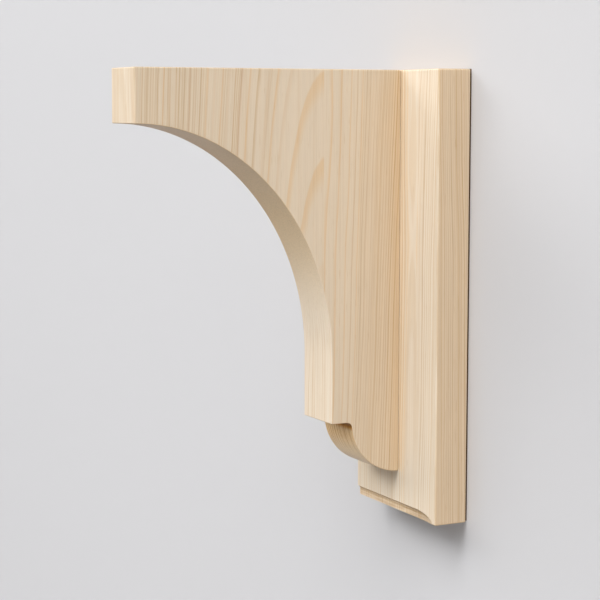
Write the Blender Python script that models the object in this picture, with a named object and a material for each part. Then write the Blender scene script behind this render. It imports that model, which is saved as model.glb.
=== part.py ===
"""Wooden shelf bracket: a coved arm standing out from a back plate. Metres, +Z up.

The origin is the centre of the back plate's rear face, which lies on the wall. The arm reaches out along -Y,
and its top is level with the plate's top, so that a shelf board rests on both.
"""

import math

import bmesh
import bpy

# Back plate
PLATE_HEIGHT = 0.250
PLATE_WIDTH = 0.0905
PLATE_THICKNESS = 0.020
PLATE_EASE = 0.0010

# Moulding along the plate's lower front edge: it runs out at the -X side and stops short of the +X side
MOULD_HEIGHT = 0.0056
MOULD_DEPTH = 0.0020
MOULD_RUN_OUT = 0.018
MOULD_STOP = 0.003

# Arm, placed on the plate
ARM_THICKNESS = 0.0345
ARM_REACH = 0.178
ARM_EASE = 0.0006
FAR_REVEAL = 0.0150
PLATE_TAIL = 0.0235
JOINT_GAP = 0.0003

# Arm's outline, from the front end down to the foot
END_HEIGHT = 0.0294
NOSE_HEIGHT = 0.0361
LIP_DEPTH = 0.0128
LIP_FILLET = 0.0030
HEEL_RADIUS = 0.0300

# Facets of the round stretches
COVE_STEPS = 48
HEEL_STEPS = 14
FILLET_STEPS = 5
MOULD_STEPS = 5
RUN_OUT_STEPS = 10
EASE_SEGMENTS = 2

# Cutters reach this far past what they cut
CUTTER_MARGIN = 0.004
# The moulding's cutter leaves the wood by this much where it stops
CUTTER_LIFT = 0.0002

# Colours of clear pine, linear
PLATE_COLOUR = (0.74, 0.60, 0.43, 1.0)
ARM_COLOUR = (0.69, 0.54, 0.36, 1.0)
WOOD_ROUGHNESS = 0.55

TOP = PLATE_HEIGHT / 2
BOTTOM = -PLATE_HEIGHT / 2
PLATE_FRONT = -PLATE_THICKNESS
ARM_BACK = PLATE_FRONT - JOINT_GAP
NOSE_FACE = PLATE_FRONT - HEEL_RADIUS - LIP_DEPTH
ARM_FOOT = BOTTOM + PLATE_TAIL
LIP_LEVEL = ARM_FOOT + HEEL_RADIUS
NOSE_TOP = LIP_LEVEL + NOSE_HEIGHT
END_LEVEL = TOP - END_HEIGHT
ARM_FAR_SIDE = -PLATE_WIDTH / 2 + FAR_REVEAL


def clear_scene():
    for obj in list(bpy.data.objects):
        bpy.data.objects.remove(obj)


def wood(name, colour):
    """A plain finish for one board."""
    material = bpy.data.materials.new(name)
    material.use_nodes = True
    shader = material.node_tree.nodes["Principled BSDF"]
    shader.inputs["Base Color"].default_value = colour
    shader.inputs["Roughness"].default_value = WOOD_ROUGHNESS
    shader.inputs["Metallic"].default_value = 0.0
    return material


def add_object(name, bm, material=None):
    """Turns a bmesh into an object of the scene, with its faces pointing out."""
    bmesh.ops.recalc_face_normals(bm, faces=bm.faces)
    mesh = bpy.data.meshes.new(name)
    bm.to_mesh(mesh)
    bm.free()
    if material:
        mesh.materials.append(material)
    obj = bpy.data.objects.new(name, mesh)
    bpy.context.scene.collection.objects.link(obj)
    return obj


def arc(centre, radii, start, end, steps):
    """Points (y, z) of an ellipse's arc, its angles in degrees from +Y towards +Z."""
    points = []
    for step in range(steps + 1):
        angle = math.radians(start + (end - start) * step / steps)
        points.append((centre[0] + radii[0] * math.cos(angle), centre[1] + radii[1] * math.sin(angle)))
    return points


def arm_outline():
    """The arm's side outline in (y, z), round from the top's back corner by the front end."""
    cove_reach = ARM_REACH + NOSE_FACE
    cove = arc((-ARM_REACH, NOSE_TOP), (cove_reach, END_LEVEL - NOSE_TOP), 90, 0, COVE_STEPS)
    heel_front = PLATE_FRONT - HEEL_RADIUS
    fillet_centre = (heel_front - LIP_FILLET, LIP_LEVEL - LIP_FILLET)
    fillet = arc(fillet_centre, (LIP_FILLET, LIP_FILLET), 90, 0, FILLET_STEPS)
    first = math.degrees(math.asin(LIP_FILLET / HEEL_RADIUS))
    heel = arc((PLATE_FRONT, LIP_LEVEL), (HEEL_RADIUS, HEEL_RADIUS), 180 + first, 270, HEEL_STEPS)
    back = [(ARM_BACK, ARM_FOOT), (ARM_BACK, TOP)]
    return [(-ARM_REACH, TOP), *cove, (NOSE_FACE, LIP_LEVEL), *fillet, *heel[1:-1], *back]


def extrude_outline(bm, outline, start, length):
    """A flat face on the outline at x = start, extruded along +X."""
    face = bm.faces.new([bm.verts.new((start, y, z)) for y, z in outline])
    swept = bmesh.ops.extrude_face_region(bm, geom=[face])
    moved = [item for item in swept["geom"] if isinstance(item, bmesh.types.BMVert)]
    bmesh.ops.translate(bm, verts=moved, vec=(length, 0, 0))


def ease(bm, edges, width):
    bmesh.ops.bevel(bm, geom=edges, offset=width, segments=EASE_SEGMENTS, profile=0.5, affect="EDGES")


def sharp_edges(bm):
    return [edge for edge in bm.edges if edge.calc_face_angle(0.0) > math.radians(40)]


def make_arm():
    """The arm, with every arris eased but those of its joint."""
    bm = bmesh.new()
    extrude_outline(bm, arm_outline(), ARM_FAR_SIDE, ARM_THICKNESS)
    bm.normal_update()
    joint = ARM_BACK - ARM_EASE / 2
    free = [edge for edge in sharp_edges(bm) if min(v.co.y for v in edge.verts) < joint]
    ease(bm, free, ARM_EASE)
    return add_object("arm", bm, wood("arm_pine", ARM_COLOUR))


def make_mould_cutter():
    """The moulding's void: a coved step that thins away before the +X side."""
    bend = PLATE_WIDTH / 2 - MOULD_STOP - MOULD_RUN_OUT
    stations = [(-PLATE_WIDTH / 2 - CUTTER_MARGIN, 1.0)]
    for step in range(RUN_OUT_STEPS + 1):
        turn = math.radians(90 * step / RUN_OUT_STEPS)
        stations.append((bend + MOULD_RUN_OUT * math.sin(turn), math.cos(turn)))
    bm = bmesh.new()
    rings = []
    for x, share in stations:
        height = (MOULD_HEIGHT + CUTTER_LIFT) * share - CUTTER_LIFT
        depth = (MOULD_DEPTH + CUTTER_LIFT) * share - CUTTER_LIFT
        radius = abs(depth)
        cove = arc((PLATE_FRONT, BOTTOM + height - radius), (depth, radius), 90, 0, MOULD_STEPS)
        front = PLATE_FRONT - CUTTER_MARGIN
        below = BOTTOM - CUTTER_MARGIN
        section = [(front, below), (front, BOTTOM + height), *cove, (PLATE_FRONT + depth, below)]
        rings.append([bm.verts.new((x, y, z)) for y, z in section])
    for ring, following in zip(rings, rings[1:]):
        for index in range(len(ring)):
            other = (index + 1) % len(ring)
            bm.faces.new((ring[index], ring[other], following[other], following[index]))
    bm.faces.new(rings[0])
    bm.faces.new(rings[-1])
    cutter = add_object("mould_cutter", bm)
    cutter.hide_render = True
    cutter.display_type = "WIRE"
    return cutter


def make_back_plate():
    """The back plate: a board with eased arrises and the stopped moulding cut along its lower front edge."""
    bm = bmesh.new()
    bmesh.ops.create_cube(bm, size=1.0)
    bmesh.ops.scale(bm, vec=(PLATE_WIDTH, PLATE_THICKNESS, PLATE_HEIGHT), verts=bm.verts)
    bmesh.ops.translate(bm, vec=(0, -PLATE_THICKNESS / 2, 0), verts=bm.verts)
    ease(bm, list(bm.edges), PLATE_EASE)
    plate = add_object("back_plate", bm, wood("plate_pine", PLATE_COLOUR))
    cut = plate.modifiers.new("moulding", "BOOLEAN")
    cut.operation = "DIFFERENCE"
    cut.solver = "EXACT"
    cut.object = make_mould_cutter()
    return plate


def main():
    clear_scene()
    make_back_plate()
    make_arm()


main()
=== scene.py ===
import math
import random

import bmesh
import bpy
from mathutils import Matrix, Vector


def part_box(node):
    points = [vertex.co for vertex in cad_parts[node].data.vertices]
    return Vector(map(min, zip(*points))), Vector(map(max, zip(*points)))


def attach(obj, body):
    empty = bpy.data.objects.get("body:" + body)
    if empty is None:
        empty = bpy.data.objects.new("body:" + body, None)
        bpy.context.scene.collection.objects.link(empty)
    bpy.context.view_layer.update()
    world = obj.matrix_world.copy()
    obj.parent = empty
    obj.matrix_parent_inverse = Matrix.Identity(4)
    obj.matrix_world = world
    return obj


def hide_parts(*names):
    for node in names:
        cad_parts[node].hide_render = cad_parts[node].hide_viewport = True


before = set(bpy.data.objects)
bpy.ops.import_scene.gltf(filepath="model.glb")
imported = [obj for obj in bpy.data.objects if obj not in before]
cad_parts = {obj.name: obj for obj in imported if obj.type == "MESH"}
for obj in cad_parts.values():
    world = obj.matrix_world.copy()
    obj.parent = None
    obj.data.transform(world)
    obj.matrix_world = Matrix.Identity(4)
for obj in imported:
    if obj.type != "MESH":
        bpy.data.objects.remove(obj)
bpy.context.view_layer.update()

ARM_LOW, ARM_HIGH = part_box("arm")
PLATE_LOW, PLATE_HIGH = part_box("back_plate")

# Arm's outline, from the front end down to the foot, in metres
END_HEIGHT = 0.0294
NOSE_HEIGHT = 0.0361
LIP_DEPTH = 0.0128
LIP_FILLET = 0.0030
HEEL_RADIUS = 0.0300
ARM_EASE = 0.0006

# Moulding along the plate's lower front edge, in metres
MOULD_HEIGHT = 0.0056
MOULD_DEPTH = 0.0020
MOULD_RUN_OUT = 0.018
MOULD_STOP = 0.003
PLATE_EASE = 0.0010
CUTTER_MARGIN = 0.004
CUTTER_LIFT = 0.0002

# Facets of the round stretches
COVE_STEPS = 180
HEEL_STEPS = 56
FILLET_STEPS = 12
EASE_SEGMENTS = 4
MOULD_STEPS = 10
RUN_OUT_STEPS = 28

# Edges sharper than the first are eased, and those sharper than the second are shaded sharp
EASED_ANGLE = math.radians(40)
SMOOTH_ANGLE = math.radians(32)
NORMAL_WEIGHT = 80

TOP = PLATE_HIGH.z
BOTTOM = PLATE_LOW.z
PLATE_FRONT = PLATE_LOW.y
ARM_BACK = ARM_HIGH.y
NOSE_FACE = PLATE_FRONT - HEEL_RADIUS - LIP_DEPTH
ARM_FOOT = ARM_LOW.z
LIP_LEVEL = ARM_FOOT + HEEL_RADIUS
NOSE_TOP = LIP_LEVEL + NOSE_HEIGHT
END_LEVEL = TOP - END_HEIGHT
GROOVE = ARM_HIGH.x

# The wood's pattern is worked out in millimetres
MM = 1000.0

# Pale wood, linear. Every tint below is a factor on it
ARM_PALE = (0.848, 0.731, 0.590, 1.0)
PLATE_PALE = (0.845, 0.738, 0.602, 1.0)
# Painted warm shade on the faces that look sideways, for the arm and for the plate
ARM_SIDE_PAINTED_SHADE = (0.985, 0.94, 0.87, 1.0)
PLATE_SIDE_PAINTED_SHADE = (1.0, 0.905, 0.785, 1.0)
# A painted highlight along the rounded upright arrises
ARRIS_HIGHLIGHT = (1.06, 1.07, 1.08, 1.0)

# Late wood of a growth ring
FAINT = (0.97, 0.93, 0.88)
ORANGE = (0.985, 0.885, 0.745)
GOLD = (0.97, 0.88, 0.74)
BROWN = (0.88, 0.80, 0.68)
TAN = (0.84, 0.75, 0.62)
STRONG = (0.85, 0.73, 0.62)
MILKY = (0.99, 0.965, 0.93)

# Finer figure
LINE_TINT = (0.89, 0.80, 0.66, 1.0)
STRIPE_TINT = (0.955, 0.92, 0.87, 1.0)
STREAK_TINT = (0.93, 0.895, 0.845, 1.0)
DASH_TINT = (0.86, 0.77, 0.64, 1.0)

# End grain: on all that faces down, most where it faces straight down, and on the tops. On the undersides
# it is end grain and painted warm shade together
UNDERSIDE_GRAIN_AND_SHADE = (1.08, 0.94, 0.70, 1.0)
STRAIGHT_DOWN_GRAIN_AND_SHADE = (0.55, 0.55, 0.66, 1.0)
TOP_GRAIN = (0.74, 0.655, 0.55, 1.0)

# The arm's front faces, its heel and the stretch by the joint. The heel has painted warm shade and a
# painted shadow line under the lip, and painted light on its tip
FRONT_LINE_TINT = (0.94, 0.89, 0.82, 1.0)
HEEL_PAINTED_SHADE = (1.12, 0.97, 0.70, 1.0)
# Painted light on the heel's tip
HEEL_TIP_PAINTED_LIGHT = (1.15, 1.17, 1.18, 1.0)
LIP_SHADE = (0.66, 0.40, 0.07, 1.0)
# Painted shadow line just under the lip
LIP_SHADOW_LINE = (0.54, 0.52, 0.20, 1.0)
RIB_TINT = (0.72, 0.57, 0.41, 1.0)
JOINT_TINT = (1.0, 0.96, 0.88, 1.0)

# The plate's moulding, with painted shade towards its near end and a painted shadow in its quirk, and
# painted warm shade on the plate beside the arm
MOULD_TINT = (1.02, 0.955, 0.86, 1.0)
# Painted shade towards the moulding's near end
MOULD_STOP_PAINTED_SHADE = (0.78, 0.77, 0.76, 1.0)
MARK_TINT = (0.87, 0.79, 0.69, 1.0)
# Painted shadow in the moulding's quirk
QUIRK_PAINTED_SHADOW = (0.70, 0.58, 0.42, 1.0)
# Painted warm shade on the plate beside the arm
GROOVE_PAINTED_SHADE = (1.0, 0.94, 0.84, 1.0)

# Noise patterns: repeats per mm along x, y and z
BROAD_SCALE = (0.030, 0.030, 0.010)
WAVER_SCALE = (0.16, 0.16, 0.022)
FIBRE_SCALE = (1.7, 1.7, 0.05)
STRIPE_SCALE = (0.75, 0.75, 0.004)
DASH_SCALE = (1.4, 1.4, 0.11)
SPECKLE_SCALE = (0.55, 1.6, 1.6)
CLOUD_SCALE = (0.07, 0.07, 0.018)
MARK_SCALE = (0.06, 1.2, 1.9)

# Noise patterns over two numbers: repeats per mm along each, and the level of the noise they lie on
STREAK_SCALE = (1.15, 0.006)
STREAK_LEVEL = 0.0
UNEVEN_SCALE = (0.21, 0.003)
UNEVEN_LEVEL = 4.0
RIB_SCALE = (0.90, 0.012)
RIB_LEVEL = 7.0
FRONT_LINE_SCALE = (0.62, 0.004)
FRONT_LINE_LEVEL = 11.0

# Noise turned into marks: none at the first value, all at the second
STREAK_CUT = (-0.12, 0.30)
STRIPE_CUT = (-0.02, 0.25)
DASH_CUT = (0.20, 0.34)
FRONT_LINE_CUT = (-0.14, 0.17)
RIB_CUT = (0.0, 0.08)
MARK_CUT = (-0.03, 0.14)

# A growth ring wanders by so many mm for each unit of its two noises
BROAD_WANDER = 2.0
WAVER_WANDER = 0.8

# Late wood's rise from the early wood and its drop at the ring's outer edge, as shares of its width
LATE_RISE = (1.0, 0.25)
LATE_DROP = (0.0, 0.16)
# A ring's tint starts this share of the way in from the last ring
TINT_LEAD = 0.15

# Spans of the curves that hold the rings: radius in mm, count and width in mm
RADIUS_SPAN = 130.0
RING_SPAN = 64.0
WIDTH_SPAN = 12.0
# The colour ramp holds no more stops than these, and one is taken away at the end
MOST_STOPS = 31
# Sets the first strip's fine figure apart from the second's, in mm
STRIP_APART = 200.0

# Fine lines: spacing in mm, unevenness, and each line's rise and drop as shares of the spacing
LINE_SPACING = 1.35
LINE_UNEVEN = 1.6
LINE_RISE = (0.40, 0.80)
LINE_DROP = (1.0, 0.90)

# Which way a face looks: none of the effect at the first share, all at the second
BELOW_FACING = (-0.04, -0.60)
ABOVE_FACING = (0.15, 0.60)
FADE_FACING = (-0.02, -0.25)
ARRIS_HIGHLIGHT_FACING = (0.6, 0.2)
FRONT_FACING = (0.5, 0.1)

# Strengths
END_FADE = 0.88
FIBRE_BREAK = 0.9
FIBRE_SHADE = 0.17
CLOUD_SHADE = 0.07
DASH_SHARE = 0.45
ARRIS_HIGHLIGHT_SHARE = 0.6
SPECKLE_BELOW = 0.40
SPECKLE_ABOVE = 0.20
WOOD_ROUGHNESS = 0.58
WOOD_SPECULAR = 0.30
FIBRE_RELIEF = 0.6
LATE_RELIEF = 0.35
BUMP_STRENGTH = 0.25
BUMP_HEIGHT = 0.00012

# Bands, in mm from a level: none of the effect at the first offset, all at the second.
# These are from the arm's nose face along +Y, then from its lip upwards.
NOSE_BAND = (6.0, 3.0)
HEEL_BAND = (-0.1, -0.6)
# Painted light on the heel's tip
HEEL_TIP_LIGHT_BAND = (-12.0, -22.0)
# Painted warm shade on the heel under the lip
HEEL_SHADE_BAND = (-18.0, -7.0)
SHADE_BAND = (-5.5, -2.9)
# Painted shadow line just under the lip
LIP_SHADOW_BAND = (-3.7, -1.9)
RIB_BAND = (-27.0, -8.0)
# These are from the plate's front along +Y, and from the moulding's top upwards
RECESS_DEPTH = (0.2, 0.9)
RECESS_BACK = (4.0, 3.0)
RECESS_TOP = (0.1, -0.1)
SCORE_LOW = (-3.3, -2.6)
SCORE_HIGH = (-1.7, -2.3)
QUIRK_SHADOW_BAND = (-1.5, -0.4)
# From the plate's middle along +X
MOULD_STOP_SHADE_BAND = (0.0, 32.0)
# The painted shade beside the arm: from the arm's near side along +X, from its foot upwards, and from the
# plate's front along +Y
GROOVE_SHADE_BAND = (7.0, 0.0)
GROOVE_SHADE_START = (-1.0, 0.0)
GROOVE_SHADE_FOOT = (-1.0, 2.0)
GROOVE_SHADE_DEPTH = (2.5, 1.5)

# Backdrop and floor, in metres
WALL_GAP = 0.0008
HIDDEN_RIM = 0.003
STRIP_INSET = 0.0007
WALL_SIZE = 1.6
WALL_TOP = 1.1
FLOOR_LEVEL = -1.0
FLOOR_SIZE = 3.0
# The dark strip's colour: a painted shadow line at the plate's rear edge
PAINTED_SHADOW_STRIP_COLOUR = (0.13, 0.075, 0.035)
BACKDROP_COLOUR = (0.640, 0.635, 0.647)
FLOOR_COLOUR = (0.50, 0.50, 0.50)
PAPER_ROUGHNESS = 0.9
PAPER_SPECULAR = 0.2

# The surroundings give little light, but show as a pale grey
SKY_COLOUR = (1.0, 1.0, 1.0)
SKY_LIGHT = 0.03
SKY_SHOWN = 0.72

# Lamps: name, place and side in metres, power in watts
LAMPS = [
    ("left", (-4.4, -2.0, 2.5), 2.7, 91.0),
    ("left_front", (-3.0, -3.6, 3.2), 3.2, 86.0),
    ("top_front", (0.3, -3.4, 4.2), 3.2, 150.0),
    ("right_front", (1.8, -3.8, 3.4), 3.4, 80.0),
    ("top_right", (1.4, -1.6, 4.0), 2.8, 75.0),
    ("right", (3.6, -1.2, 2.4), 2.4, 32.0),
    ("behind", (0.9, 2.6, 2.0), 2.5, 60.0),
]

# Camera, in metres, degrees and millimetres
CAMERA_PLACE = (0.8526, -0.5033, 0.1030)
CAMERA_YAW = 63.625
CAMERA_PITCH = 6.248
CAMERA_ROLL = 0.038
CAMERA_LENS = 104.34
CAMERA_SENSOR = 36.0
CAMERA_NEAR = 0.05
CAMERA_FAR = 20.0


def arc(centre, radii, start, end, steps):
    """Points (y, z) of an ellipse's arc, its angles in degrees from +Y towards +Z."""
    points = []
    for step in range(steps + 1):
        angle = math.radians(start + (end - start) * step / steps)
        points.append((centre[0] + radii[0] * math.cos(angle), centre[1] + radii[1] * math.sin(angle)))
    return points


def arm_outline():
    """The arm's side outline in (y, z), round from the top's back corner by the front end."""
    cove = arc((ARM_LOW.y, NOSE_TOP), (NOSE_FACE - ARM_LOW.y, END_LEVEL - NOSE_TOP), 90, 0, COVE_STEPS)
    heel_front = PLATE_FRONT - HEEL_RADIUS
    fillet_centre = (heel_front - LIP_FILLET, LIP_LEVEL - LIP_FILLET)
    fillet = arc(fillet_centre, (LIP_FILLET, LIP_FILLET), 90, 0, FILLET_STEPS)
    first = math.degrees(math.asin(LIP_FILLET / HEEL_RADIUS))
    heel = arc((PLATE_FRONT, LIP_LEVEL), (HEEL_RADIUS, HEEL_RADIUS), 180 + first, 270, HEEL_STEPS)
    back = [(ARM_BACK, ARM_FOOT), (ARM_BACK, TOP)]
    return [(ARM_LOW.y, TOP), *cove, (NOSE_FACE, LIP_LEVEL), *fillet, *heel[1:-1], *back]


def ease(bm, edges, width):
    bmesh.ops.bevel(bm, geom=edges, offset=width, segments=EASE_SEGMENTS, profile=0.5, affect="EDGES")


def piece(name, bm, material=None):
    """Turns a bmesh into an object of the scene, with its faces pointing out."""
    bmesh.ops.recalc_face_normals(bm, faces=bm.faces)
    mesh = bpy.data.meshes.new(name)
    bm.to_mesh(mesh)
    bm.free()
    if material:
        mesh.materials.append(material)
    obj = bpy.data.objects.new(name, mesh)
    bpy.context.scene.collection.objects.link(obj)
    return obj


def soften(obj):
    """Smooth shading with flat faces kept flat."""
    obj.data.shade_smooth()
    obj.data.set_sharp_from_angle(angle=SMOOTH_ANGLE)
    weighted = obj.modifiers.new("weighted", "WEIGHTED_NORMAL")
    weighted.keep_sharp = True
    weighted.weight = NORMAL_WEIGHT


def make_arm(material):
    """The arm, with every arris eased but those of its joint."""
    bm = bmesh.new()
    face = bm.faces.new([bm.verts.new((ARM_LOW.x, y, z)) for y, z in arm_outline()])
    swept = bmesh.ops.extrude_face_region(bm, geom=[face])
    moved = [item for item in swept["geom"] if isinstance(item, bmesh.types.BMVert)]
    bmesh.ops.translate(bm, verts=moved, vec=(ARM_HIGH.x - ARM_LOW.x, 0, 0))
    bm.normal_update()
    joint = ARM_BACK - ARM_EASE / 2
    sharp = [edge for edge in bm.edges if edge.calc_face_angle(0.0) > EASED_ANGLE]
    ease(bm, [edge for edge in sharp if min(v.co.y for v in edge.verts) < joint], ARM_EASE)
    obj = piece("arm_board", bm, material)
    soften(obj)
    return obj


def make_mould_cutter():
    """The moulding's void: a coved step that thins away before the +X side."""
    bend = PLATE_HIGH.x - MOULD_STOP - MOULD_RUN_OUT
    stations = [(PLATE_LOW.x - CUTTER_MARGIN, 1.0)]
    for step in range(RUN_OUT_STEPS + 1):
        turn = math.radians(90 * step / RUN_OUT_STEPS)
        stations.append((bend + MOULD_RUN_OUT * math.sin(turn), math.cos(turn)))
    bm = bmesh.new()
    rings = []
    for x, share in stations:
        height = (MOULD_HEIGHT + CUTTER_LIFT) * share - CUTTER_LIFT
        depth = (MOULD_DEPTH + CUTTER_LIFT) * share - CUTTER_LIFT
        radius = abs(depth)
        cove = arc((PLATE_FRONT, BOTTOM + height - radius), (depth, radius), 90, 0, MOULD_STEPS)
        front = PLATE_FRONT - CUTTER_MARGIN
        below = BOTTOM - CUTTER_MARGIN
        section = [(front, below), (front, BOTTOM + height), *cove, (PLATE_FRONT + depth, below)]
        rings.append([bm.verts.new((x, y, z)) for y, z in section])
    for ring, following in zip(rings, rings[1:]):
        for index in range(len(ring)):
            other = (index + 1) % len(ring)
            bm.faces.new((ring[index], ring[other], following[other], following[index]))
    bm.faces.new(rings[0])
    bm.faces.new(rings[-1])
    return piece("mould_cutter", bm)


def make_plate(material):
    """The back plate, with the moulding cut out of its mesh."""
    bm = bmesh.new()
    bmesh.ops.create_cube(bm, size=1.0)
    bmesh.ops.scale(bm, vec=PLATE_HIGH - PLATE_LOW, verts=bm.verts)
    bmesh.ops.translate(bm, vec=(PLATE_HIGH + PLATE_LOW) / 2, verts=bm.verts)
    ease(bm, list(bm.edges), PLATE_EASE)
    obj = piece("plate_board", bm, material)
    cutter = make_mould_cutter()
    cut = obj.modifiers.new("moulding", "BOOLEAN")
    cut.operation = "DIFFERENCE"
    cut.solver = "EXACT"
    cut.object = cutter
    bpy.context.view_layer.update()
    evaluated = obj.evaluated_get(bpy.context.evaluated_depsgraph_get())
    carved = bpy.data.meshes.new_from_object(evaluated)
    obj.modifiers.clear()
    obj.data = carved
    bpy.data.objects.remove(cutter)
    soften(obj)
    return obj


class Graph:
    """Short calls for building a material's nodes."""

    def __init__(self, name):
        self.material = bpy.data.materials.new(name)
        self.material.use_nodes = True
        self.nodes = self.material.node_tree.nodes
        self.links = self.material.node_tree.links
        self.shader = self.nodes["Principled BSDF"]

    def feed(self, socket, value):
        if isinstance(value, bpy.types.NodeSocket):
            self.links.new(value, socket)
        else:
            socket.default_value = value

    def node(self, kind, inputs, **settings):
        made = self.nodes.new(kind)
        for key, value in settings.items():
            setattr(made, key, value)
        for key, value in inputs.items():
            self.feed(made.inputs[key], value)
        return made

    def math(self, operation, *values, clamp=False):
        made = self.node("ShaderNodeMath", dict(enumerate(values)), operation=operation, use_clamp=clamp)
        return made.outputs[0]

    def add(self, a, b):
        return self.math("ADD", a, b)

    def sub(self, a, b):
        return self.math("SUBTRACT", a, b)

    def mul(self, a, b):
        return self.math("MULTIPLY", a, b)

    def step(self, value, start, end):
        """A smooth step of value, from 0 at start to 1 at end."""
        inputs = {0: value, 1: start, 2: end}
        return self.node("ShaderNodeMapRange", inputs, interpolation_type="SMOOTHSTEP").outputs[0]

    def band(self, value, level, offsets):
        """A smooth step of value between two offsets from a level."""
        return self.step(value, level + offsets[0], level + offsets[1])

    def combine(self, x, y, z):
        return self.node("ShaderNodeCombineXYZ", {0: x, 1: y, 2: z}).outputs[0]

    def noise(self, vector, detail=2.0, roughness=0.5):
        """Noise about 0, within 0.5 either way."""
        inputs = {"Vector": vector, "Scale": 1.0, "Detail": detail, "Roughness": roughness}
        return self.sub(self.node("ShaderNodeTexNoise", inputs).outputs[0], 0.5)

    def solid_noise(self, spot, scales, **settings):
        """Noise at a spot (x, y, z), stretched along each axis."""
        return self.noise(self.combine(*[self.mul(a, b) for a, b in zip(spot, scales)]), **settings)

    def flat_noise(self, a, b, scales, level, **settings):
        """Noise over two numbers, each stretched, on one level of it."""
        return self.noise(self.combine(self.mul(a, scales[0]), self.mul(b, scales[1]), level), **settings)

    def random(self, value):
        """A random share from 0 to 1 for each whole number."""
        return self.node("ShaderNodeTexWhiteNoise", {"W": value}, noise_dimensions="1D").outputs[0]

    def mix(self, share, a, b):
        return self.node("ShaderNodeMix", {0: share, 6: a, 7: b}, data_type="RGBA").outputs[2]

    def tint(self, share, colour, factor):
        """Colour times factor, as far as share says."""
        inputs = {0: share, 6: colour, 7: factor}
        return self.node("ShaderNodeMix", inputs, data_type="RGBA", blend_type="MULTIPLY").outputs[2]

    def blend(self, share, a, b):
        """A number between a and b."""
        return self.node("ShaderNodeMix", {0: share, 2: a, 3: b}, data_type="FLOAT").outputs[0]


class Strip:
    """One strip of a glued-up board: where its pith runs, and its growth rings.

    The pith passes through (x, y) mm at z = 0 and leans by lean, in mm per mm, as z rises. rings lists
    each ring's outer radius in mm and the tint of its late wood, which takes up the share fill of a ring,
    but at most band mm. Fine lines come in where the rings are narrower than dense, in mm: none at the
    first width, all at the second.
    """

    def __init__(self, pith, lean, rings, fill, band, dense=(5.0, 2.8)):
        self.pith = pith
        self.lean = lean
        self.rings = rings
        self.fill = fill
        self.band = band
        self.dense = dense


def mixed(low, high, share):
    return tuple(a + (b - a) * share for a, b in zip(low, high))


def even_rings(start, end, width, spread, tints, seed):
    """Rings of about one width, each with a tint drawn between the two given."""
    draw = random.Random(seed)
    rings = []
    radius = start
    while radius < end:
        rings.append((radius, mixed(tints[0], tints[1], draw.random())))
        radius += width * (1 + spread * (draw.random() - 0.5))
    return rings


def set_curve(node, points):
    """A broken line through the points, as a curve's node keeps it."""
    curve = node.mapping.curves[0]
    for place, height in points[1:-1]:
        curve.points.new(place, height)
    curve.points[0].location = points[0]
    curve.points[-1].location = points[-1]
    for point in curve.points:
        point.handle_type = "VECTOR"
    node.mapping.update()


def set_stops(ramp, rings):
    """A flat colour for each ring's late wood."""
    ramp.interpolation = "CONSTANT"
    last = 0.0
    for index, (outer, tint) in enumerate(rings[:MOST_STOPS]):
        place = (last + TINT_LEAD * (outer - last)) / RADIUS_SPAN
        element = ramp.elements[0] if index == 0 else ramp.elements.new(place)
        if index == 0:
            element.position = 0.0
        element.color = (*tint, 1.0)
        last = outer
    ramp.elements.remove(ramp.elements[-1])


def strip_figure(g, spot, strip, wander):
    """A strip's figure at a spot given in mm.

    Gives back the late wood's share, its tint, the radius from the pith in mm and the share of fine lines.
    """
    x, y, z = spot
    dx = g.sub(x, g.math("MULTIPLY_ADD", z, strip.lean[0], strip.pith[0]))
    dy = g.sub(y, g.math("MULTIPLY_ADD", z, strip.lean[1], strip.pith[1]))
    square = g.math("MULTIPLY_ADD", dx, dx, g.mul(dy, dy))
    radius = g.add(wander, g.math("SQRT", square))
    reach = g.math("DIVIDE", radius, RADIUS_SPAN, clamp=True)

    rings = strip.rings
    edges = g.node("ShaderNodeFloatCurve", {1: reach})
    gaps = g.node("ShaderNodeFloatCurve", {1: reach})
    stops = [(0.0, 0.0)]
    widths = []
    last = rings[0][0] - (rings[1][0] - rings[0][0])
    for index, (outer, _) in enumerate(rings):
        stops.append((outer / RADIUS_SPAN, (index + 1) / RING_SPAN))
        widths.append(((outer + last) / 2 / RADIUS_SPAN, (outer - last) / WIDTH_SPAN))
        last = outer
    set_curve(edges, stops)
    set_curve(gaps, widths)
    count = g.mul(edges.outputs[0], RING_SPAN)
    width = g.mul(gaps.outputs[0], WIDTH_SPAN)
    inside = g.mul(g.sub(1.0, g.math("FRACT", count)), width)
    deep = g.math("MINIMUM", g.mul(width, strip.fill), strip.band)
    share = g.math("DIVIDE", inside, deep)
    late = g.mul(g.step(share, *LATE_RISE), g.step(share, *LATE_DROP))

    ramp = g.node("ShaderNodeValToRGB", {0: reach})
    set_stops(ramp.color_ramp, rings)
    return late, ramp.outputs[0], radius, g.step(width, *strip.dense)


def fine_lines(g, radius, z):
    """Thin lines of uneven strength between the named rings, about LINE_SPACING mm apart."""
    uneven = g.flat_noise(radius, z, UNEVEN_SCALE, UNEVEN_LEVEL, detail=1.0)
    count = g.math("MULTIPLY_ADD", radius, 1.0 / LINE_SPACING, g.mul(uneven, LINE_UNEVEN))
    share = g.math("FRACT", count)
    strength = g.random(g.math("FLOOR", count))
    return g.mul(g.mul(g.step(share, *LINE_RISE), g.step(share, *LINE_DROP)), strength)


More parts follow.
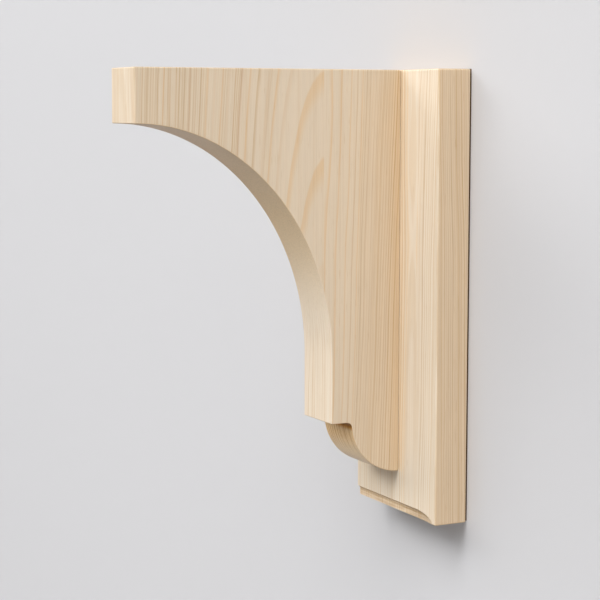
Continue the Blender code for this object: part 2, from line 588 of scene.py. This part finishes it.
def arm_finish(g, wood, spot, front, level):
    """Lines down the arm's front faces, and its heel: painted warm shade and a painted shadow line under
    the lip, painted light on its tip, and ribs.

    front is the share to which a face looks forward, up or down, and level the share kept off undersides.
    """
    x, y, z = spot
    lip = LIP_LEVEL * MM
    lines = g.flat_noise(x, z, FRONT_LINE_SCALE, FRONT_LINE_LEVEL, detail=3.0, roughness=0.65)
    nose = g.mul(g.mul(front, level), g.band(y, NOSE_FACE * MM, NOSE_BAND))
    wood = g.tint(g.mul(nose, g.step(lines, *FRONT_LINE_CUT)), wood, FRONT_LINE_TINT)

    heel = g.mul(g.band(z, lip, HEEL_BAND), front)
    # Painted light on the heel's tip
    wood = g.tint(g.mul(heel, g.band(z, lip, HEEL_TIP_LIGHT_BAND)), wood, HEEL_TIP_PAINTED_LIGHT)
    # Painted warm shade on the heel under the lip
    wood = g.tint(g.mul(heel, g.band(z, lip, HEEL_SHADE_BAND)), wood, HEEL_PAINTED_SHADE)
    wood = g.tint(g.mul(heel, g.band(z, lip, SHADE_BAND)), wood, LIP_SHADE)
    # Painted shadow line just under the lip
    wood = g.tint(g.mul(heel, g.band(z, lip, LIP_SHADOW_BAND)), wood, LIP_SHADOW_LINE)
    ribs = g.flat_noise(x, z, RIB_SCALE, RIB_LEVEL, detail=2.0, roughness=0.6)
    ribbed = g.mul(heel, g.band(z, lip, RIB_BAND))
    return g.tint(g.mul(ribbed, g.step(ribs, *RIB_CUT)), wood, RIB_TINT)


def plate_finish(g, wood, spot, front, _level):
    """The plate's moulding, and painted warm shade on the plate beside the arm.

    The moulding's recess is browner and streaked along its length, with painted shade towards its near end
    and a painted shadow in its quirk.
    """
    x, y, z = spot
    face = PLATE_FRONT * MM
    top = (BOTTOM + MOULD_HEIGHT) * MM
    recess = g.mul(g.band(y, face, RECESS_DEPTH), front)
    recess = g.mul(recess, g.band(z, top, RECESS_TOP))
    recess = g.mul(recess, g.band(y, face, RECESS_BACK))
    marks = g.solid_noise(spot, MARK_SCALE, detail=3.0, roughness=0.7)
    score = g.mul(g.band(z, top, SCORE_LOW), g.band(z, top, SCORE_HIGH))
    wood = g.tint(recess, wood, MOULD_TINT)
    # Painted shade towards the moulding's near end
    wood = g.tint(g.mul(recess, g.step(x, *MOULD_STOP_SHADE_BAND)), wood, MOULD_STOP_PAINTED_SHADE)
    wood = g.tint(g.mul(recess, g.step(marks, *MARK_CUT)), wood, MARK_TINT)
    wood = g.tint(g.mul(recess, score), wood, MARK_TINT)
    # Painted shadow in the moulding's quirk
    wood = g.tint(g.mul(recess, g.band(z, top, QUIRK_SHADOW_BAND)), wood, QUIRK_PAINTED_SHADOW)

    # Painted warm shade on the plate beside the arm
    beside = g.mul(g.band(x, GROOVE * MM, GROOVE_SHADE_BAND), g.band(x, GROOVE * MM, GROOVE_SHADE_START))
    beside = g.mul(beside, g.band(z, ARM_FOOT * MM, GROOVE_SHADE_FOOT))
    return g.tint(g.mul(beside, g.band(y, face, GROOVE_SHADE_DEPTH)), wood, GROOVE_PAINTED_SHADE)


def pine(name, pale, seam_axis, seam, strips, side_painted_shade, finish, joint=None):
    """Clear pine glued up from two strips, which meet where the seam's axis passes seam, in mm.

    joint is a stretch of the y axis in mm over which the wood turns warmer, or None.
    """
    g = Graph(name)
    place = g.node("ShaderNodeTexCoord", {}).outputs["Object"]
    scaled = g.node("ShaderNodeVectorMath", {0: place, 3: MM}, operation="SCALE").outputs[0]
    split = g.node("ShaderNodeSeparateXYZ", {0: scaled})
    x, y, z = split.outputs[0], split.outputs[1], split.outputs[2]
    spot = (x, y, z)
    normal = g.node("ShaderNodeNewGeometry", {}).outputs["Normal"]
    facing = g.node("ShaderNodeSeparateXYZ", {0: normal})
    upwards = facing.outputs[2]
    upright = g.math("ABSOLUTE", upwards)
    below = g.step(upwards, *BELOW_FACING)
    above = g.step(upwards, *ABOVE_FACING)
    sideways = g.mul(facing.outputs[0], facing.outputs[0])
    # Four times s(1 - s) is 1 halfway round an arris
    round_arris = g.mul(g.mul(sideways, g.sub(1.0, sideways)), 4.0)
    # Where the painted highlight lies: halfway round the upright arrises
    arris = g.mul(round_arris, g.step(upright, *ARRIS_HIGHLIGHT_FACING))
    end_grain = g.mul(upright, upright)

    broad = g.solid_noise(spot, BROAD_SCALE, detail=1.0)
    waver = g.solid_noise(spot, WAVER_SCALE, detail=2.0)
    wander = g.math("MULTIPLY_ADD", broad, BROAD_WANDER, g.mul(waver, WAVER_WANDER))

    side = g.math("GREATER_THAN", {"x": x, "y": y}[seam_axis], seam)
    late_a, tint_a, radius_a, dense_a = strip_figure(g, spot, strips[0], wander)
    late_b, tint_b, radius_b, dense_b = strip_figure(g, spot, strips[1], wander)
    late = g.blend(side, late_a, late_b)
    tint = g.mix(side, tint_a, tint_b)
    radius = g.blend(side, g.add(radius_a, STRIP_APART), radius_b)
    level = g.sub(1.0, g.mul(END_FADE, g.step(upwards, *FADE_FACING)))
    lined = g.mul(g.blend(side, dense_a, dense_b), level)

    fibre = g.solid_noise(spot, FIBRE_SCALE, detail=3.0, roughness=0.7)
    uneven = g.math("MULTIPLY_ADD", fibre, FIBRE_BREAK, 1.0)
    wood = g.tint(g.math("MULTIPLY", g.mul(late, level), uneven, clamp=True), pale, tint)

    streak = g.flat_noise(radius, z, STREAK_SCALE, STREAK_LEVEL, detail=3.0, roughness=0.7)
    wood = g.tint(g.mul(g.step(streak, *STREAK_CUT), lined), wood, STREAK_TINT)
    wood = g.tint(g.mul(fine_lines(g, radius, z), lined), wood, LINE_TINT)
    stripe = g.solid_noise(spot, STRIPE_SCALE, detail=3.0)
    wood = g.tint(g.mul(g.step(stripe, *STRIPE_CUT), level), wood, STRIPE_TINT)
    dash = g.step(g.solid_noise(spot, DASH_SCALE, detail=0.0), *DASH_CUT)
    wood = g.tint(g.mul(dash, DASH_SHARE), wood, DASH_TINT)

    speckle = g.solid_noise(spot, SPECKLE_SCALE, detail=3.0, roughness=0.7)
    speckled = g.mul(speckle, g.math("MULTIPLY_ADD", below, SPECKLE_BELOW, g.mul(above, SPECKLE_ABOVE)))
    # End grain with painted warm shade on the undersides, and end grain alone on the tops
    wood = g.tint(below, wood, UNDERSIDE_GRAIN_AND_SHADE)
    wood = g.tint(g.mul(end_grain, below), wood, STRAIGHT_DOWN_GRAIN_AND_SHADE)
    wood = g.tint(g.mul(end_grain, above), wood, TOP_GRAIN)
    # Painted warm shade on the faces that look sideways
    wood = g.tint(sideways, wood, side_painted_shade)
    # Painted highlight along the rounded upright arrises
    wood = g.tint(g.mul(arris, ARRIS_HIGHLIGHT_SHARE), wood, ARRIS_HIGHLIGHT)
    if joint:
        wood = g.tint(g.mul(g.step(y, *joint), g.sub(1.0, end_grain)), wood, JOINT_TINT)

    wood = finish(g, wood, spot, g.step(sideways, *FRONT_FACING), level)

    cloud = g.solid_noise(spot, CLOUD_SCALE, detail=2.0)
    clouded = g.math("MULTIPLY_ADD", cloud, CLOUD_SHADE, speckled)
    shade = g.add(g.math("MULTIPLY_ADD", fibre, FIBRE_SHADE, 1.0), clouded)
    shaded = g.node("ShaderNodeVectorMath", {0: wood, 3: shade}, operation="SCALE").outputs[0]
    g.feed(g.shader.inputs["Base Color"], shaded)

    g.shader.inputs["Roughness"].default_value = WOOD_ROUGHNESS
    g.shader.inputs["Specular IOR Level"].default_value = WOOD_SPECULAR
    relief = g.math("MULTIPLY_ADD", fibre, FIBRE_RELIEF, g.mul(late, LATE_RELIEF))
    bump = g.node("ShaderNodeBump", {"Height": relief, "Strength": BUMP_STRENGTH, "Distance": BUMP_HEIGHT})
    g.links.new(bump.outputs[0], g.shader.inputs["Normal"])
    return g.material


# The arm's wide strip: arched flames, each ring's radius read from where it crosses the wide face
ARM_WIDE_RINGS = [
    (5.0, MILKY), (12.8, MILKY), (21.4, ORANGE), (29.2, ORANGE), (35.6, FAINT), (40.2, ORANGE),
    (43.8, FAINT), (49.0, BROWN), (53.1, ORANGE), (57.4, STRONG), (60.2, FAINT), (63.9, FAINT),
    (67.2, ORANGE), (70.9, FAINT), (75.0, ORANGE), (78.3, BROWN), (80.9, FAINT), (84.2, STRONG),
    (87.2, BROWN), (89.8, BROWN), (91.9, FAINT), (95.2, FAINT), (98.4, ORANGE), (101.2, BROWN),
    (103.9, FAINT), (107.0, BROWN), (109.8, FAINT), (112.4, FAINT),
]
ARM_WIDE = Strip(pith=(-5.0, -68.0), lean=(-0.158, 0.0), rings=ARM_WIDE_RINGS, fill=0.38, band=3.0)

# The arm's strip by the plate: close lines, with a few wider rings among them
ARM_NEAR_RINGS = even_rings(15.0, 38.5, 2.35, 0.4, (FAINT, TAN), 4)
ARM_NEAR_RINGS += [(41.8, ORANGE), (43.9, ORANGE), (46.6, GOLD), (48.7, BROWN), (50.6, GOLD)]
ARM_NEAR_RINGS += even_rings(52.2, 70.0, 1.2, 0.4, (FAINT, TAN), 6)
ARM_NEAR = Strip(pith=(-35.75, -78.4), lean=(0.0, 0.035), rings=ARM_NEAR_RINGS, fill=0.62, band=0.62,
                 dense=(2.0, 1.4))

# The plate's two strips: upright lines, closer together in the strip at the near side
PLATE_WIDE_RINGS = [(25.0, MILKY), (26.1, GOLD), (27.0, GOLD), (28.0, BROWN)]
PLATE_WIDE_RINGS += even_rings(29.6, 75.0, 1.9, 0.5, (FAINT, GOLD), 7)
PLATE_WIDE = Strip(pith=(18.5, 5.0), lean=(0.0, 0.0), rings=PLATE_WIDE_RINGS, fill=0.5, band=1.2)
PLATE_NEAR_RINGS = even_rings(31.5, 63.0, 1.08, 0.3, (FAINT, TAN), 9)
PLATE_NEAR = Strip(pith=(10.0, 30.0), lean=(0.02, 0.0), rings=PLATE_NEAR_RINGS, fill=0.62, band=1.2)

# Where the strips meet, along the arm's y and the plate's x, and the arm's warmer stretch along y, in mm
ARM_SEAM = -68.0
PLATE_SEAM = 23.75
ARM_JOINT = (-30.0, -20.5)


def plain(name, colour):
    """Matt paper of one colour."""
    material = bpy.data.materials.new(name)
    material.use_nodes = True
    shader = material.node_tree.nodes["Principled BSDF"]
    shader.inputs["Base Color"].default_value = (*colour, 1.0)
    shader.inputs["Roughness"].default_value = PAPER_ROUGHNESS
    shader.inputs["Specular IOR Level"].default_value = PAPER_SPECULAR
    return material


def one_sided(material):
    """Lets the backdrop be seen from its front only, so that it never hides the object's back."""
    nodes = material.node_tree.nodes
    links = material.node_tree.links
    geometry = nodes.new("ShaderNodeNewGeometry")
    clear = nodes.new("ShaderNodeBsdfTransparent")
    choose = nodes.new("ShaderNodeMixShader")
    links.new(geometry.outputs["Backfacing"], choose.inputs[0])
    links.new(nodes["Principled BSDF"].outputs[0], choose.inputs[1])
    links.new(clear.outputs[0], choose.inputs[2])
    links.new(choose.outputs[0], nodes["Material Output"].inputs["Surface"])


def corners(left, right, low, high):
    return [(left, low), (right, low), (right, high), (left, high)]


def sheet_round(name, hole, rim, colour):
    """A flat upright sheet between the corners of a hole and those of its rim, seen from the front only."""
    bm = bmesh.new()
    inside = [bm.verts.new((x, WALL_GAP, z)) for x, z in hole]
    outside = [bm.verts.new((x, WALL_GAP, z)) for x, z in rim]
    for index in range(4):
        other = (index + 1) % 4
        bm.faces.new((outside[index], outside[other], inside[other], inside[index]))
    bm.normal_update()
    if bm.faces[:][0].normal.y > 0:
        bmesh.ops.reverse_faces(bm, faces=bm.faces)
    mesh = bpy.data.meshes.new(name)
    bm.to_mesh(mesh)
    bm.free()
    material = plain(name + "_paper", colour)
    one_sided(material)
    mesh.materials.append(material)
    obj = bpy.data.objects.new(name, mesh)
    bpy.context.scene.collection.objects.link(obj)
    return obj


def make_backdrop():
    """A pale sheet just behind the plate, open where the plate's rear face lies on it.

    A dark strip goes round the opening: a painted shadow line at the plate's rear edge.
    """
    inner = PLATE_EASE
    hole = corners(PLATE_LOW.x + inner, PLATE_HIGH.x - HIDDEN_RIM, BOTTOM + inner, TOP - inner)
    edge = corners(PLATE_LOW.x, PLATE_HIGH.x - STRIP_INSET, BOTTOM + STRIP_INSET, TOP)
    rim = corners(-WALL_SIZE, WALL_SIZE, FLOOR_LEVEL, WALL_TOP)
    # The dark strip is a painted shadow line at the plate's rear edge
    strip = sheet_round("shadow_strip", hole, edge, PAINTED_SHADOW_STRIP_COLOUR)
    # With a shadow the strip would darken an edge of the plate's back
    strip.visible_shadow = False
    sheet_round("backdrop", edge, rim, BACKDROP_COLOUR)


def make_floor():
    bm = bmesh.new()
    bmesh.ops.create_grid(bm, x_segments=1, y_segments=1, size=FLOOR_SIZE)
    bmesh.ops.translate(bm, vec=(0, 0, FLOOR_LEVEL), verts=bm.verts)
    floor = piece("floor", bm, plain("floor_paper", FLOOR_COLOUR))


def area_light(name, place, size, power):
    """A white square lamp turned towards the bracket."""
    data = bpy.data.lights.new(name, "AREA")
    data.shape = "SQUARE"
    data.size = size
    data.energy = power
    lamp = bpy.data.objects.new(name, data)
    lamp.location = place
    lamp.rotation_euler = (-Vector(place)).to_track_quat("-Z", "Y").to_euler()
    lamp.visible_camera = False
    bpy.context.scene.collection.objects.link(lamp)


def make_world():
    """Weak even light from all round, which shows as a pale grey where nothing stands before it."""
    world = bpy.data.worlds.new("studio")
    world.use_nodes = True
    nodes = world.node_tree.nodes
    links = world.node_tree.links
    background = nodes["Background"]
    background.inputs[0].default_value = (*SKY_COLOUR, 1.0)
    background.inputs[1].default_value = SKY_LIGHT
    seen = nodes.new("ShaderNodeBackground")
    seen.inputs[0].default_value = (*SKY_COLOUR, 1.0)
    seen.inputs[1].default_value = SKY_SHOWN
    path = nodes.new("ShaderNodeLightPath")
    choose = nodes.new("ShaderNodeMixShader")
    links.new(path.outputs["Is Camera Ray"], choose.inputs[0])
    links.new(background.outputs[0], choose.inputs[1])
    links.new(seen.outputs[0], choose.inputs[2])
    links.new(choose.outputs[0], nodes["World Output"].inputs["Surface"])
    bpy.context.scene.world = world


def make_camera():
    """The photograph's camera, for a square picture."""
    yaw = math.radians(CAMERA_YAW)
    pitch = math.radians(CAMERA_PITCH)
    roll = math.radians(CAMERA_ROLL)
    back = Vector((math.sin(yaw) * math.cos(pitch), -math.cos(yaw) * math.cos(pitch), math.sin(pitch)))
    right = Vector((math.cos(yaw), math.sin(yaw), 0.0))
    up = back.cross(right)
    turn = Matrix((right, up, back)).transposed() @ Matrix.Rotation(roll, 3, "Z")
    data = bpy.data.cameras.new("camera")
    data.sensor_width = CAMERA_SENSOR
    data.lens = CAMERA_LENS
    data.clip_start = CAMERA_NEAR
    data.clip_end = CAMERA_FAR
    camera = bpy.data.objects.new("camera", data)
    camera.matrix_world = Matrix.Translation(CAMERA_PLACE) @ turn.to_4x4()
    bpy.context.scene.collection.objects.link(camera)
    bpy.context.scene.camera = camera


arm_pine = pine("arm_pine", ARM_PALE, "y", ARM_SEAM, (ARM_WIDE, ARM_NEAR), ARM_SIDE_PAINTED_SHADE, arm_finish,
                ARM_JOINT)
plate_pine = pine("plate_pine", PLATE_PALE, "x", PLATE_SEAM, (PLATE_WIDE, PLATE_NEAR), PLATE_SIDE_PAINTED_SHADE,
                  plate_finish)

arm_board = make_arm(arm_pine)
plate_board = make_plate(plate_pine)
for obj, node, slot in ((arm_board, "arm", "arm_pine"), (plate_board, "back_plate", "plate_pine")):
    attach(obj, "root")
    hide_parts(node)

make_backdrop()
make_floor()
make_world()
for lamp in LAMPS:
    area_light(*lamp)
make_camera()
bpy.context.scene.view_settings.view_transform = "Standard"
